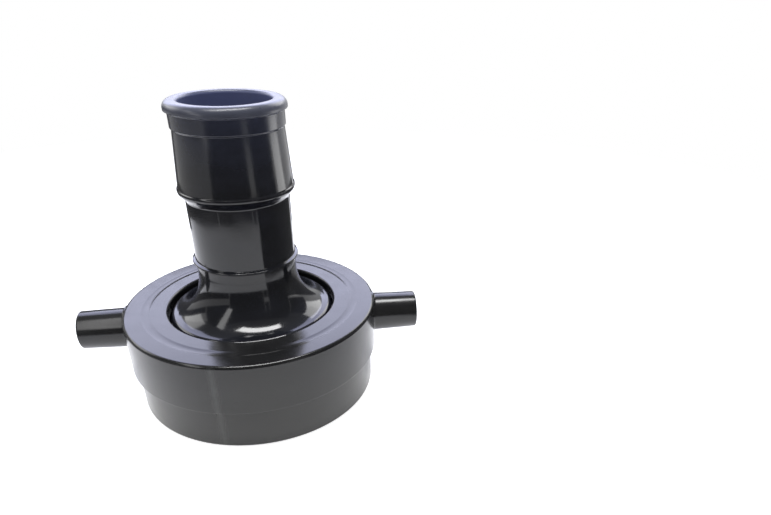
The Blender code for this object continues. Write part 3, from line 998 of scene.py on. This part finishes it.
def make_camera():
    """The photograph's camera: an upright lens with its frame shifted off the axis."""
    data = bpy.data.cameras.new("photo_camera")
    data.sensor_width = SENSOR_WIDTH
    data.lens = FOCAL_LENGTH_PX * data.sensor_width / PHOTO_WIDTH
    data.shift_x = (PHOTO_WIDTH / 2 - OPTICAL_CENTRE_PX[0]) / PHOTO_WIDTH
    data.shift_y = (OPTICAL_CENTRE_PX[1] - PHOTO_HEIGHT / 2) / PHOTO_WIDTH
    camera = bpy.data.objects.new("photo_camera", data)
    bpy.context.scene.collection.objects.link(camera)
    forward = Vector((math.sin(CAMERA_HEADING) * math.cos(CAMERA_PITCH),
                      math.cos(CAMERA_HEADING) * math.cos(CAMERA_PITCH),
                      -math.sin(CAMERA_PITCH)))
    level = Vector((math.cos(CAMERA_HEADING), -math.sin(CAMERA_HEADING), 0.0))
    raised = level.cross(forward)
    right = level * math.cos(CAMERA_ROLL) + raised * math.sin(CAMERA_ROLL)
    up = raised * math.cos(CAMERA_ROLL) - level * math.sin(CAMERA_ROLL)
    camera.matrix_world = Matrix.Translation(CAMERA_PLACE) @ \
        Matrix((right, up, -forward)).transposed().to_4x4()
    bpy.context.scene.camera = camera


# Curved cards round the object: name, radius, first and last heading, lower and upper edge
DARK_CARDS = [
    ("card_low", 0.27, -48.0, 24.0, 0.0, 0.11),
    ("card_front", 0.28, -48.0, 24.0, 0.11, 0.42),
    ("card_left_low", 0.27, -150.0, -48.0, 0.0, 0.045),
    ("card_left_front", 0.28, -100.0, -48.0, 0.10, 0.42),
    ("card_left", 0.28, -150.0, -100.0, 0.10, 0.155),
    ("card_slit_low", 0.27, 24.0, 33.0, 0.0, 0.06),
    ("card_slit_high", 0.28, 24.0, 33.0, 0.105, 0.42),
    ("card_front_right", 0.285, 33.0, 78.0, 0.0, 0.42),
    ("card_right_high", 0.285, 78.0, 115.0, 0.105, 0.30),
    ("card_right", 0.16, 33.0, 140.0, 0.0, 0.07),
    ("card_back", 0.24, 150.0, 180.0, 0.0, 0.12),
    ("card_back_left", 0.24, -180.0, -140.0, 0.0, 0.12),
]
GREY_CARD = ("grey_card", 0.29, -150.0, -48.0, 0.04, 0.105)


class COUPLING_OT_studio(Operator):
    """Set up the pale floor, the soft lights, the cards and the camera"""

    bl_idname = "coupling.studio"
    bl_label = "Studio"

    def execute(self, context):
        studio = context.scene.coupling_studio
        make_world(studio)
        make_floor(studio)
        soft_light("window_behind", from_heading(heading=180.0, elevation=38.0, distance=0.9),
                   width=0.95, height=0.62, shine=studio.window, hue=WINDOW_TINT)
        soft_light("strip_overhead", place=Vector((0.03, -0.07, 0.75)),
                   width=0.50, height=0.17, shine=studio.strip)
        soft_light("side_right", from_heading(heading=95.0, elevation=8.0, distance=0.36),
                   width=0.14, height=0.10, shine=studio.side)
        soft_light("left_back", from_heading(heading=-128.0, elevation=34.0, distance=0.8),
                   width=0.38, height=0.30, shine=studio.left)
        soft_light("right_back", from_heading(heading=132.0, elevation=36.0, distance=0.8),
                   width=0.36, height=0.34, shine=studio.right)
        for card in DARK_CARDS:
            round_card(*card, shine=studio.dark_card)
        round_card(*GREY_CARD, shine=studio.grey_card)
        flat_card("white_card", place=(-0.135, -0.09, 0.178), width=0.045, depth=0.188,
                  slope=42.0, shine=studio.white_card)
        flat_card("ceiling", place=(0.0, 0.0, 1.0), width=2.4, depth=2.4, slope=0.0,
                  shine=studio.ceiling)
        make_camera()
        context.scene.view_settings.view_transform = "Standard"
        return {"FINISHED"}


class COUPLING_PT_panel(Panel):
    """Lists the pieces and their sizes"""

    bl_idname = "COUPLING_PT_panel"
    bl_label = "Hose tail coupling"
    bl_space_type = "VIEW_3D"
    bl_region_type = "UI"
    bl_category = "Coupling"

    def draw(self, context):
        for operator, groups in PANEL_ROWS:
            box = self.layout.box()
            box.operator(operator.bl_idname)
            for group in groups:
                settings = getattr(context.scene, group)
                for name in settings.__annotations__:
                    box.prop(settings, name)


PANEL_ROWS = [
    (COUPLING_OT_swivel_nut, ["coupling_nut", "coupling_thread"]),
    (COUPLING_OT_sealing_washer, ["coupling_washer"]),
    (COUPLING_OT_hose_tail, ["coupling_tail"]),
    (COUPLING_OT_studio, ["coupling_studio", "coupling_finish"]),
]
GROUPS = {
    "coupling_nut": NutSizes,
    "coupling_thread": ThreadSizes,
    "coupling_washer": WasherSizes,
    "coupling_tail": TailSizes,
    "coupling_finish": Finish,
    "coupling_studio": Studio,
}
CLASSES = [*GROUPS.values(), *(row[0] for row in PANEL_ROWS), COUPLING_PT_panel]


def register():
    for cls in CLASSES:
        bpy.utils.register_class(cls)
    for name, group in GROUPS.items():
        setattr(bpy.types.Scene, name, PointerProperty(type=group))


def unregister():
    for name in GROUPS:
        delattr(bpy.types.Scene, name)
    for cls in reversed(CLASSES):
        bpy.utils.unregister_class(cls)


def main():
    """Models the pieces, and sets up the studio."""
    register()
    bpy.ops.coupling.swivel_nut()
    bpy.ops.coupling.sealing_washer()
    bpy.ops.coupling.hose_tail()
    bpy.ops.coupling.studio()


if __name__ == "__main__":
    main()
